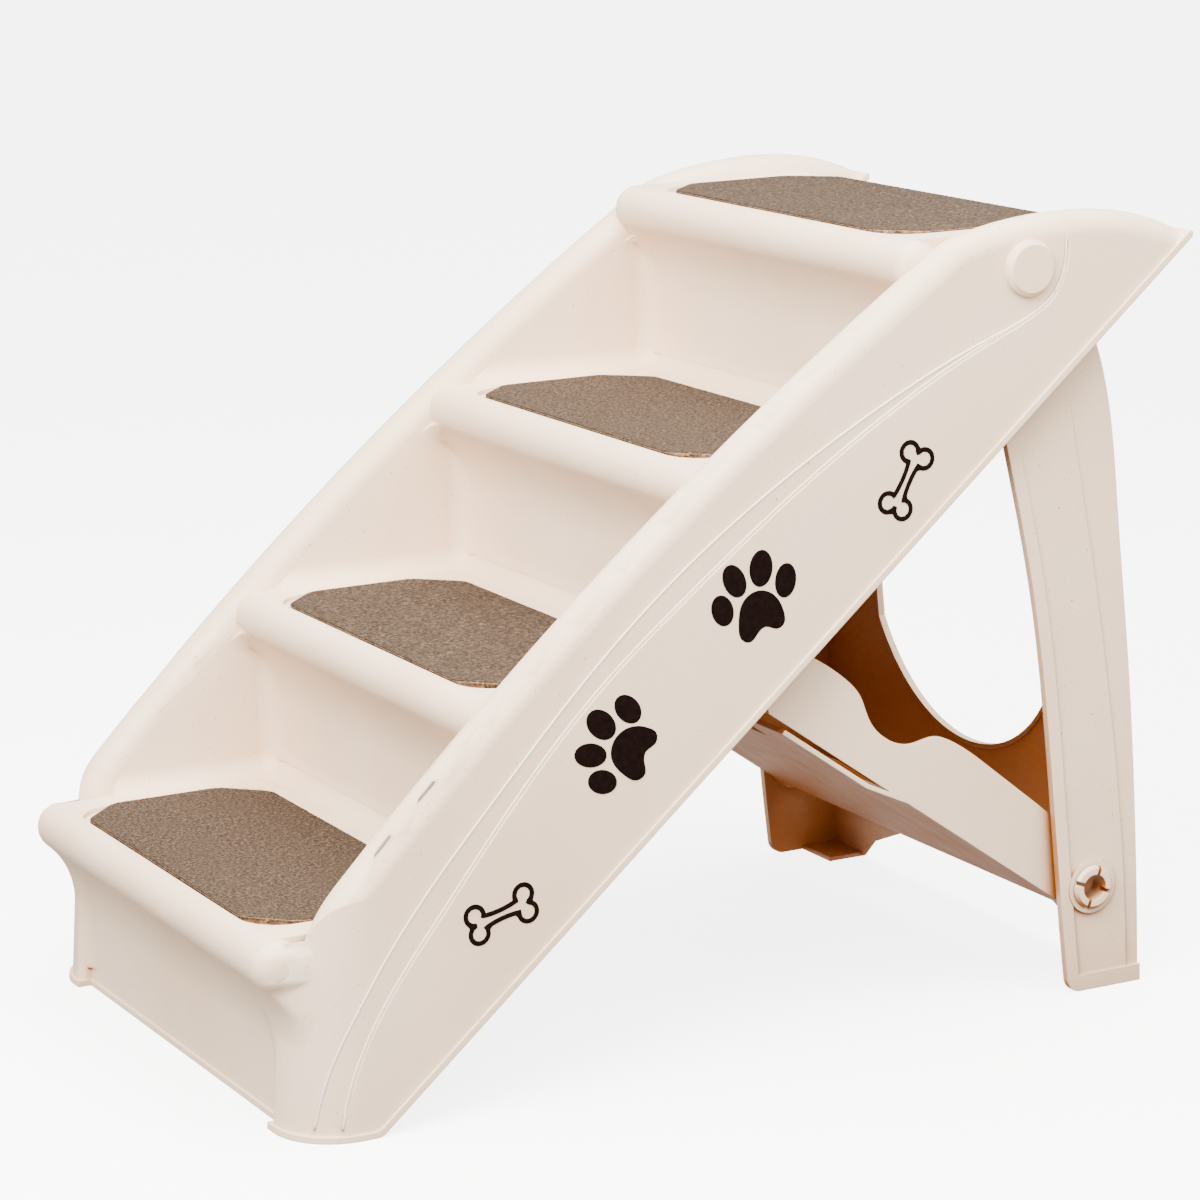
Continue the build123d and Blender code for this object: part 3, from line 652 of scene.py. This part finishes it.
@dataclass
class StepSweep:
    """The long hollow sweep from a step's nose down to its riser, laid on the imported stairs.

    Places are measured back from the nose's front, across, and down from the middle of the nose's
    round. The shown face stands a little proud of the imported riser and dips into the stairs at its
    borders, and the hidden one lies the seat's depth inside them. Where a ray from the clear place
    in front meets nothing, the depth is the missed one.
    """

    step: int
    rise: float = 122.5 * MM
    run: float = 144.4 * MM
    mat_proud: float = 2.0 * MM
    nose: float = 15.5 * MM
    sweep: float = 60.0 * MM
    setback: float = 25.0 * MM
    half_across: float = 171.0 * MM
    half_seen: float = 169.0 * MM
    reach_down: float = 99.0 * MM
    start_down: float = 1.0 * MM
    cell: float = 2.0 * MM
    tuck: float = 0.30 * MM
    tuck_lead: float = 12.0 * MM
    tuck_span: float = 14.0 * MM
    cover: float = 0.25 * MM
    seat: float = 2.40 * MM
    fill: float = 40.0 * MM
    dip: float = 0.60 * MM
    fade_top: float = 1.0 * MM
    fade_bottom: float = 10.0 * MM
    fade_side: float = 0.0
    proud: float = 0.50 * MM
    level: float = 74.0 * MM
    spread: float = 5.0 * MM
    clear: float = 2.0 * MM
    missed: float = 100.0 * MM

    def profile(self, down: np.ndarray, plane: np.ndarray | float) -> np.ndarray:
        """Depth of the nose's round and of the sweep that runs from it into a plane.

        Args:
            down: Distance below the middle of the nose.
            plane: Depth of the plane behind the front of the nose.

        Returns:
            The depth behind the front of the nose.
        """
        both = self.nose + self.sweep
        across = both - plane
        fall = np.sqrt(both**2 - across**2)
        split = self.nose / both * fall
        round_part = round_depth(self.nose, down)
        hollow_part = plane - round_depth(self.sweep, np.maximum(fall - down, 0.0))
        depth = np.where(down < split, round_part, hollow_part)
        upper_tuck = self.tuck * np.clip(1 - down / split, 0.0, 1.0)
        lower_tuck = self.tuck * np.clip((down - fall + self.tuck_lead) / self.tuck_span, 0.0, 1.0)
        return depth + upper_tuck + lower_tuck

    def target(self, down: np.ndarray, across: np.ndarray, packed: np.ndarray) -> np.ndarray:
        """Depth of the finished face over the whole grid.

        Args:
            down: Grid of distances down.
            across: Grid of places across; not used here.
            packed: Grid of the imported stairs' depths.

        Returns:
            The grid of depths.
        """
        row = int(np.argmin(np.abs(down[:, 0] - self.level)))
        plane = float(np.median(packed[row])) - self.proud - self.tuck
        return self.profile(down, plane)

    def soften(self, depth: np.ndarray) -> np.ndarray:
        """Fill a face's crevices by spreading its depth over its neighbours.

        Args:
            depth: Grid of depths.

        Returns:
            The softened grid.
        """
        sigma = self.spread / self.cell
        reach = int(3 * sigma)
        weights = np.exp(-0.5 * (np.arange(-reach, reach + 1) / sigma) ** 2)
        weights /= weights.sum()
        spread = depth
        for axis in (0, 1):
            rims = [(reach, reach) if axis == a else (0, 0) for a in (0, 1)]
            padded = np.pad(spread, rims, mode="reflect", reflect_type="odd")
            size = depth.shape[axis]
            spread = sum(
                weight * np.take(padded, np.arange(start, start + size), axis=axis)
                for start, weight in enumerate(weights)
            )
        return spread + self.cover / 2

    def allowance(self, down: np.ndarray, across: np.ndarray) -> np.ndarray:
        """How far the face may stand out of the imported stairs: it dips into them at its borders.

        Args:
            down: Grid of distances down.
            across: Grid of places across.

        Returns:
            The grid of allowances.
        """
        share = np.clip((down - self.start_down) / self.fade_top, 0.0, 1.0)
        share = share * np.clip((self.reach_down - down) / self.fade_bottom, 0.0, 1.0)
        if self.fade_side:
            share = share * np.clip((self.half_across - np.abs(across)) / self.fade_side, 0.0, 1.0)
        return (self.fill + self.dip) * share**2 - self.dip

    def grid(self) -> list[np.ndarray]:
        """Lay out the points of the whole face.

        Returns:
            The grid of distances down and the grid of places across.
        """
        rows = round((self.reach_down - self.start_down) / self.cell)
        columns = 2 * round(self.half_across / self.cell)
        down = np.linspace(self.start_down, self.reach_down, rows + 1)
        across = np.linspace(-self.half_across, self.half_across, columns + 1)
        return np.meshgrid(down, across, indexing="ij")

    def build(self, tree: BVHTree, front: float, material: bpy.types.Material) -> bpy.types.Object:
        """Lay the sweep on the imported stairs.

        Args:
            tree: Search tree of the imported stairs.
            front: Place of the stairs' front edge.
            material: The plastic.

        Returns:
            The new piece.
        """
        edge = front + self.step * self.run
        middle = self.rise * (self.step + 1) - self.mat_proud - self.nose
        down, across = self.grid()
        packed = np.empty_like(down)
        for index in np.ndindex(down.shape):
            y = float(np.clip(across[index], -self.half_seen, self.half_seen))
            start = Vector((edge - self.clear, y, middle - float(down[index])))
            hit = tree.ray_cast(start, Vector((1, 0, 0)))[0]
            packed[index] = hit.x - edge if hit else self.missed
        target = self.target(down, across, packed)
        filled = self.soften(np.minimum(target, packed))
        shown = np.minimum(np.minimum(target, filled), packed + self.dip)
        shown = np.maximum(shown, packed - self.allowance(down, across))
        return self.close(down, across, shown, packed + self.seat, edge, middle, material)

    def close(
        self,
        down: np.ndarray,
        across: np.ndarray,
        shown: np.ndarray,
        hidden: np.ndarray,
        edge: float,
        middle: float,
        material: bpy.types.Material,
    ) -> bpy.types.Object:
        """Make a closed piece between the shown face and the hidden one.

        Args:
            down: Grid of distances down.
            across: Grid of places across.
            shown: Depths of the shown face.
            hidden: Depths of the face inside the stairs.
            edge: Place of the nose's front.
            middle: Height of the nose's middle.
            material: The plastic.

        Returns:
            The new piece.
        """
        mesh = bmesh.new()
        layers = []
        for depth in (shown, hidden):
            layer = []
            for places in zip(edge + depth, across, middle - down):
                layer.append([mesh.verts.new(place) for place in zip(*places)])
            layers.append(layer)
        for layer in layers:
            for upper, lower in zip(layer, layer[1:]):
                for j in range(len(upper) - 1):
                    mesh.faces.new((upper[j], upper[j + 1], lower[j + 1], lower[j]))
        rims = [rim_of(layer) for layer in layers]
        stitch(mesh, rims[0], rims[1])
        name = f"step_sweep_{self.step + 1}"
        return finish_mesh(mesh, name, material, Body.STAIRS)


@dataclass
class FrontSweep(StepSweep):
    """The front of the lowest step, whose nose flows into the two pillars and the panel between."""

    half_across: float = 190.0 * MM
    half_seen: float = 190.0 * MM
    start_down: float = -14.0 * MM
    reach_down: float = 94.0 * MM
    clear: float = 8.0 * MM
    missed: float = 54.0 * MM
    pillar_lean: float = 0.08
    pillar_side: float = 159.0 * MM
    pillar_inner: float = 154.0 * MM
    arch: float = 62.0 * MM
    arch_top: float = 93.0 * MM
    edge_blend: float = 9.0 * MM
    knob_start: float = 171.0 * MM
    knob_round: float = 12.0 * MM
    fade_top: float = 14.0 * MM
    fade_bottom: float = 8.0 * MM
    fade_side: float = 22.0 * MM
    behind: float = 1.0

    def target(self, down: np.ndarray, across: np.ndarray, packed: np.ndarray) -> np.ndarray:
        """Depth of the panel, of the pillars beside it, and of the step between them.

        Args:
            down: Grid of distances down.
            across: Grid of places across.
            packed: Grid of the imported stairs' depths.

        Returns:
            The grid of depths.
        """
        height = self.rise - self.mat_proud - self.nose - down
        side = np.abs(across)
        knob = round_depth(self.knob_round, np.maximum(side - self.knob_start, 0.0))
        column = int(np.argmin(np.abs(side[0] - self.pillar_side)))
        foot = np.where(side[-1] > self.pillar_side, packed[-1], packed[-1, column])
        plane = foot[None, :] + self.pillar_lean * (self.reach_down - down)
        plane = np.clip(plane - knob, 0.0, self.setback + self.nose)
        lift = np.clip(height - self.arch_top + self.arch, 0.0, self.arch)
        inner = self.pillar_inner - self.arch + np.sqrt(self.arch**2 - lift**2)
        share = np.clip((side - inner) / self.edge_blend + 0.5, 0.0, 1.0)
        share = share * share * (3 - 2 * share)
        panel = self.profile(down, self.setback)
        pillars = self.profile(down, plane) + knob
        face = panel * (1 - share) + pillars * share
        return np.where(side > self.knob_start + self.knob_round, self.behind, face)


def rim_of(layer: list[list[bmesh.types.BMVert]]) -> list[bmesh.types.BMVert]:
    """The outer vertices of a grid, in order.

    Args:
        layer: The grid's rows.

    Returns:
        The closed loop of vertices.
    """
    right = [row[-1] for row in layer[1:-1]]
    left = [row[0] for row in layer[-2:0:-1]]
    return layer[0] + right + layer[-1][::-1] + left


def stitch(
    mesh: bmesh.types.BMesh, above: list[bmesh.types.BMVert], below: list[bmesh.types.BMVert]
) -> None:
    """Join two loops of the same length with faces.

    Args:
        mesh: The mesh in the making.
        above: One loop.
        below: The other.
    """
    count = len(above)
    for index in range(count):
        after = (index + 1) % count
        mesh.faces.new((above[index], above[after], below[after], below[index]))


def finish_mesh(
    mesh: bmesh.types.BMesh, name: str, material: bpy.types.Material, body: Body
) -> bpy.types.Object:
    """Turn a mesh in the making into a finished piece.

    Args:
        mesh: The mesh, which this uses up.
        name: The piece's name.
        material: Its finish.
        body: What it moves with.

    Returns:
        The new piece.
    """
    bmesh.ops.recalc_face_normals(mesh, faces=mesh.faces)
    data = bpy.data.meshes.new(name)
    mesh.to_mesh(data)
    mesh.free()
    return add_piece(data, name, material, body)


@dataclass
class TreadMat:
    """A carpet mat with cut corners, its backing, and the loose fibres on it and along its edge."""

    number: int
    corner: float = 27.0 * MM
    corner_round: float = 14.0 * MM
    cell: float = 1.5 * MM
    end_shares: tuple[float, ...] = (0.08, 0.3, 0.6)
    edge_round: float = 0.9 * MM
    edge_loops: int = 4
    edge_levels: Pair = (0.5, 0.0)
    pile: float = 0.22 * MM
    tuft: float = 1.7 * MM
    wave: float = 0.30 * MM
    wave_length: float = 42.0 * MM
    wave_margin: float = 12.0 * MM
    seed_gap: float = 10.0
    wave_seed: float = 3.0
    backing: float = 0.8 * MM
    recess: float = 3.0 * MM
    fibres: int = 900
    scatter_every: int = 3
    edge_band: float = 2.0 * MM
    end_share: float = 0.6
    fibre_length: Pair = (1.0 * MM, 3.2 * MM)
    fibre_width: float = 0.12 * MM
    fibre_taper: float = 0.6
    fibre_bend: float = 1.4
    fibre_lift: float = 0.25
    fibre_sink: float = 0.8
    fibre_joints: int = 3

    def __post_init__(self) -> None:
        """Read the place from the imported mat."""
        self.node = f"tread_mat_{self.number}"
        self.low, self.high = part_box(self.node)
        self.depth = self.high.x - self.low.x
        self.half = (self.high.y - self.low.y) / 2
        self.random = random.Random(self.number)

    def half_at(self, reach: float) -> float:
        """Half width of the mat, whose corners are cut at 45 degrees and have two rounds each.

        Args:
            reach: Distance from the front or the back edge, whichever is nearer.

        Returns:
            The half width there.
        """
        blend = self.corner_round * math.tan(math.radians(22.5))
        bite = blend * math.cos(math.radians(45))
        if reach < bite:
            drop = self.corner_round - reach
            inner = self.half - self.corner - blend
            return inner + math.sqrt(self.corner_round**2 - drop**2)
        if reach < self.corner - bite:
            return self.half - self.corner + reach
        if reach < self.corner + blend:
            drop = self.corner + blend - reach
            return self.half - self.corner_round + math.sqrt(self.corner_round**2 - drop**2)
        return self.half

    def outline(self) -> list[Pair]:
        """Lay out the mat's rows, closer together near its ends.

        Returns:
            The place along the depth and the half width of every row.
        """
        rows = max(2, round(self.depth / self.cell))
        places = {self.depth * index / rows for index in range(rows + 1)}
        for share in self.end_shares:
            places |= {share * self.cell, self.depth - share * self.cell}
        return [(self.low.x + x, self.half_at(min(x, self.depth - x))) for x in sorted(places)]

    def height(self, x: float, y: float, edge: float) -> float:
        """Height of the pile at a place, lower towards the edge.

        Args:
            x: Place along the depth.
            y: Place across.
            edge: Distance to the nearest edge.

        Returns:
            The height above the floor.
        """
        seed = self.seed_gap * self.number
        tuft = noise.noise(Vector((x / self.tuft, y / self.tuft, seed)))
        place = Vector((x / self.wave_length, y / self.wave_length, seed + self.wave_seed))
        wave = self.wave * noise.noise(place) * min(1.0, edge / self.wave_margin)
        return self.high.z - self.wave + self.pile * (tuft - 1.0) + wave

    def build_pile(self, material: bpy.types.Material) -> bpy.types.Object:
        """Make the mat itself.

        Args:
            material: The carpet finish.

        Returns:
            The new piece.
        """
        rows = self.outline()
        columns = round(2 * self.half / self.cell)
        mesh = bmesh.new()
        grid = []
        for x, half in rows:
            line = []
            for index in range(columns + 1):
                y = half * (2 * index / columns - 1)
                edge = min(half - abs(y), x - self.low.x, self.high.x - x)
                line.append(mesh.verts.new((x, y, self.height(x, y, edge))))
            grid.append(line)
        for first, second in zip(grid, grid[1:]):
            for index in range(columns):
                mesh.faces.new((first[index], second[index], second[index + 1], first[index + 1]))
        self.close_edge(mesh, rim_of(grid))
        return finish_mesh(mesh, f"carpet_mat_{self.number}", material, Body.STAIRS)

    def close_edge(self, mesh: bmesh.types.BMesh, rim: list[bmesh.types.BMVert]) -> None:
        """Roll the rim down to the mat's underside and close it below.

        Args:
            mesh: The mat so far.
            rim: Its top edge, in order.
        """
        middle = Vector(((self.low.x + self.high.x) / 2, 0, 0))
        count = len(rim)
        above = rim
        floor = self.low.z + self.backing
        for loop in range(1, self.edge_loops + 1):
            turn = math.radians(90 * loop / self.edge_loops)
            below = []
            for index, top in enumerate(rim):
                before, after = rim[index - 1].co, rim[(index + 1) % count].co
                along = (after - before).normalized()
                outward = Vector((along.y, -along.x, 0))
                if outward.dot(top.co - middle) < 0:
                    outward = -outward
                drop = self.edge_round * (1 - math.cos(turn))
                place = top.co + outward * self.edge_round * (math.sin(turn) - 1.0)
                below.append(mesh.verts.new((place.x, place.y, top.co.z - drop)))
            stitch(mesh, above, below)
            above = below
        for share in self.edge_levels:
            places = [(v.co.x, v.co.y, floor + share * (v.co.z - floor)) for v in above]
            below = [mesh.verts.new(place) for place in places]
            stitch(mesh, above, below)
            above = below
        mesh.faces.new(above[::-1])
        for vertex in rim:
            along = vertex.co - middle
            flat = Vector((along.x, along.y, 0)).normalized()
            vertex.co -= flat * self.edge_round

    def build_backing(self, material: bpy.types.Material) -> bpy.types.Object:
        """Make the thin backing below the pile.

        Args:
            material: The backing's finish.

        Returns:
            The new piece.
        """
        mesh = bmesh.new()
        rows = self.outline()
        loop = [(x, half) for x, half in rows] + [(x, -half) for x, half in rows[::-1]]
        top_z = self.low.z + self.recess + self.backing
        low = [mesh.verts.new((x, y, self.low.z)) for x, y in loop]
        high = [mesh.verts.new((x, y, top_z)) for x, y in loop]
        stitch(mesh, high, low)
        mesh.faces.new(low)
        mesh.faces.new(high[::-1])
        return finish_mesh(mesh, f"mat_backing_{self.number}", material, Body.STAIRS)

    def build_fibres(self, material: bpy.types.Material) -> bpy.types.Object:
        """Scatter loose fibres over the mat and along its edge.

        Every third fibre lies anywhere on the mat, and the others near its sides and its ends.

        Args:
            material: The carpet finish.

        Returns:
            The new piece.
        """
        mesh = bmesh.new()
        rows = self.outline()
        for index in range(self.fibres):
            x, half = self.random.choice(rows)
            if index % self.scatter_every:
                side = self.random.choice((-1, 1))
                y = side * (half - self.random.random() * self.edge_band)
                if self.random.random() < self.end_share:
                    x, half = self.random.choice((rows[1], rows[-2]))
                    y = self.random.uniform(-half, half)
            else:
                y = self.random.uniform(-half, half)
            self.add_fibre(mesh, x, y)
        return finish_mesh(mesh, f"mat_fibres_{self.number}", material, Body.STAIRS)

    def add_fibre(self, mesh: bmesh.types.BMesh, x: float, y: float) -> None:
        """Add one bent fibre that lies on the pile.

        Args:
            mesh: The fibres so far.
            x: Place of its root along the depth.
            y: Place of its root across.
        """
        length = self.random.uniform(*self.fibre_length)
        heading = self.random.uniform(0, 2 * math.pi)
        bend = self.random.uniform(-self.fibre_bend, self.fibre_bend)
        lift = self.random.uniform(0.0, self.fibre_lift)
        base = Vector((x, y, self.high.z - self.pile - self.wave * self.fibre_sink))
        left, right = [], []
        for joint in range(self.fibre_joints + 1):
            share = joint / self.fibre_joints
            angle = heading + bend * share
            along = Vector((math.cos(angle), math.sin(angle), 0))
            rise = Vector((0, 0, math.sin(share * math.pi) * lift * length))
            middle = base + along * length * share + rise
            taper = 1 - self.fibre_taper * share
            aside = Vector((-along.y, along.x, 0)) * self.fibre_width * taper / 2
            left.append(mesh.verts.new(self.inside(middle + aside)))
            right.append(mesh.verts.new(self.inside(middle - aside)))
        for joint in range(self.fibre_joints):
            mesh.faces.new((left[joint], right[joint], right[joint + 1], left[joint + 1]))

    def inside(self, place: Vector) -> Vector:
        """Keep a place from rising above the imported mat."""
        place.z = min(place.z, self.high.z)
        return place

    def build(self, pile: bpy.types.Material, backing: bpy.types.Material) -> None:
        """Build and place the whole mat.

        Args:
            pile: The carpet finish.
            backing: The backing's finish.
        """
        mat = self.build_pile(pile)
        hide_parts(self.node)
        others = [self.build_backing(backing), self.build_fibres(pile)]
        rows = self.outline()
        LOG.info("%s: pile, backing and %d fibres", self.node, self.fibres)


@dataclass
class ReliefLine:
    """The thin bead along one of the moulded lines on a cheek, paler than the cheek as painted
    highlight.

    The line's points are shares of the stairs' length and height.
    """

    name: str
    shares: tuple[Pair, ...]
    side: float
    length: float = 631.2 * MM
    height: float = 500.0 * MM
    outside: float = 240.0 * MM
    half_width: float = 0.80 * MM
    proud: float = 0.40 * MM
    seat: float = 0.80 * MM
    step: float = 3.0 * MM
    foot: float = 6.5 * MM
    arc_points: int = 7
    turns: tuple[Pair, ...] = ((0.816, 0.882), (0.842, 0.906), (0.854, 0.941), (0.856, 0.972))

    def path(self) -> np.ndarray:
        """Lay a smooth curve, a natural cubic spline, through the line's points.

        Returns:
            Evenly spaced points on the curve, above the foot.
        """
        points = np.array(self.shares + self.turns) * (self.length, self.height)
        points -= (self.length / 2, 0.0)
        spans = np.linalg.norm(np.diff(points, axis=0), axis=1)
        knots = np.concatenate(([0.0], np.cumsum(spans)))
        count = len(knots)
        matrix = np.zeros((count, count))
        right = np.zeros((count, 2))
        matrix[0, 0] = matrix[-1, -1] = 1.0
        slopes = np.diff(points, axis=0) / spans[:, None]
        for index in range(1, count - 1):
            before, after = spans[index - 1], spans[index]
            matrix[index, index - 1 : index + 2] = before, 2 * (before + after), after
            right[index] = 6 * (slopes[index] - slopes[index - 1])
        bends = np.linalg.solve(matrix, right)
        places = np.linspace(0.0, knots[-1], round(knots[-1] / self.step) + 1)
        span = np.clip(np.searchsorted(knots, places, side="right") - 1, 0, count - 2)
        wide = spans[span][:, None]
        late = (places - knots[span])[:, None] / wide
        early = 1 - late
        curve = early * points[span] + late * points[span + 1]
        curve += ((early**3 - early) * bends[span] + (late**3 - late) * bends[span + 1]) * wide**2 / 6
        return curve[curve[:, 1] > self.foot]

    def level(self, tree: BVHTree, place: np.ndarray) -> float:
        """How far out the cheek's face lies at a place.

        Args:
            tree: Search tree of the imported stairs.
            place: Place along and up.

        Returns:
            The distance from the stairs' middle, or 0 past the cheek's edge.
        """
        start = Vector((place[0], self.side * self.outside, place[1]))
        hit = tree.ray_cast(start, Vector((0, -self.side, 0)), self.outside)[0]
        return abs(hit.y) if hit else 0.0

    def build(self, tree: BVHTree, material: bpy.types.Material) -> bpy.types.Object:
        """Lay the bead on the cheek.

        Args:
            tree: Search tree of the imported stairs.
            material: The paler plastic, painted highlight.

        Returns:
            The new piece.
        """
        mesh = bmesh.new()
        rings = []
        curve = self.path()
        aside = np.gradient(curve, axis=0)[:, ::-1] * (-1, 1)
        aside /= np.linalg.norm(aside, axis=1)[:, None]
        arc = np.linspace(0.0, math.pi, self.arc_points)
        section = [(self.half_width * math.cos(a), self.proud * math.sin(a)) for a in arc]
        section += [(-self.half_width, -self.seat), (self.half_width, -self.seat)]
        for place, across in zip(curve, aside):
            base = max(self.level(tree, place + across * t * self.half_width) for t in (-1, 0, 1))
            ring = []
            for offset, lift in section:
                x, z = place + across * offset
                ring.append(mesh.verts.new((x, self.side * (base + lift), z)))
            rings.append(ring)
        for before, after in zip(rings, rings[1:]):
            stitch(mesh, before, after)
        mesh.faces.new(rings[0])
        mesh.faces.new(rings[-1][::-1])
        return finish_mesh(mesh, self.name, material, Body.STAIRS)


@dataclass
class MouldedPieces:
    """The moulded stairs, leg frame and cross brace."""

    folding: tuple[str, ...] = ("leg_frame", "cross_brace")
    inner_line: tuple[Pair, ...] = (
        (0.040, -0.020),
        (0.0635, 0.097),
        (0.0913, 0.165),
        (0.145, 0.261),
        (0.231, 0.383),
        (0.337, 0.521),
        (0.426, 0.618),
        (0.550, 0.724),
        (0.668, 0.804),
        (0.764, 0.856),
    )
    outer_line: tuple[Pair, ...] = (
        (0.062, -0.020),
        (0.0824, 0.084),
        (0.1006, 0.132),
        (0.166, 0.246),
        (0.252, 0.379),
        (0.354, 0.511),
        (0.429, 0.587),
        (0.553, 0.702),
        (0.669, 0.793),
        (0.764, 0.853),
    )

    def build(
        self,
        nodes: dict[str, bpy.types.Object],
        plastic: bpy.types.Material,
        painted_shade_plastic: bpy.types.Material,
        highlight_plastic: bpy.types.Material,
    ) -> None:
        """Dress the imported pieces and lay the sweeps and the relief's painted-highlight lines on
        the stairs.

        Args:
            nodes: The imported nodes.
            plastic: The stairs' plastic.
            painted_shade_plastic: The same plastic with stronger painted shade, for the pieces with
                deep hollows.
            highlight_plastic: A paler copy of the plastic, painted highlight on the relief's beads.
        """
        dress(nodes["stair_body"], plastic)
        LOG.info("stair_body: dressed")
        # The leg frame and the brace take the copy with stronger painted shade.
        for name in self.folding:
            dress(nodes[name], painted_shade_plastic)
            LOG.info("%s: dressed", name)
        data = nodes["stair_body"].data
        places = [vertex.co for vertex in data.vertices]
        tree = BVHTree.FromPolygons(places, [face.vertices for face in data.polygons])
        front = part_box("stair_body")[0].x
        for sweep in [FrontSweep(0)] + [StepSweep(step) for step in range(1, STEPS)]:
            piece = sweep.build(tree, front, plastic)
            LOG.info("%s: laid on the stairs", piece.name)
        for cheek in Cheek:
            for line, shares in (("inner", self.inner_line), ("outer", self.outer_line)):
                name = f"relief_{line}_{cheek.name.lower()}"
                piece = ReliefLine(name, shares, cheek.value).build(tree, highlight_plastic)
                LOG.info("%s: laid on the cheek", piece.name)


@dataclass
class PrintedFigures:
    """The paw prints and bones on the cheek."""

    names: tuple[str, ...] = (
        "paw_decal_lower",
        "paw_decal_upper",
        "bone_decal_lower",
        "bone_decal_upper",
    )

    def build(self, nodes: dict[str, bpy.types.Object], material: bpy.types.Material) -> None:
        """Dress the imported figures.

        Args:
            nodes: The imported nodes.
            material: The ink.
        """
        for name in self.names:
            dress(nodes[name], material)
            LOG.info("%s: dressed", name)


def main() -> None:
    """Build the studio and every piece of the stairs."""
    logging.basicConfig(level=logging.INFO, format="%(message)s")
    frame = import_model()
    Studio().build()
    plastic = CreamPlastic().make()
    # A copy of the plastic with stronger painted shade in its hollows, for the leg frame and the
    # brace.
    painted_shade_plastic = CreamPlastic(name="cream_painted_shade", shade_share=(0.30, 0.60)).make()
    # A paler copy of the plastic, painted highlight for the relief's beads.
    highlight_plastic = CreamPlastic(
        name="cream_painted_highlight", pale=(0.95, 0.84, 0.71, 1), warm=(0.93, 0.81, 0.68, 1)
    ).make()
    MouldedPieces().build(frame["nodes"], plastic, painted_shade_plastic, highlight_plastic)
    PrintedFigures().build(frame["nodes"], BrownPrint().make())
    pile, backing = HeatherCarpet().make(), GlueBacking().make()
    for number in range(1, STEPS + 1):
        TreadMat(number).build(pile, backing)


if __name__ == "__main__":
    main()
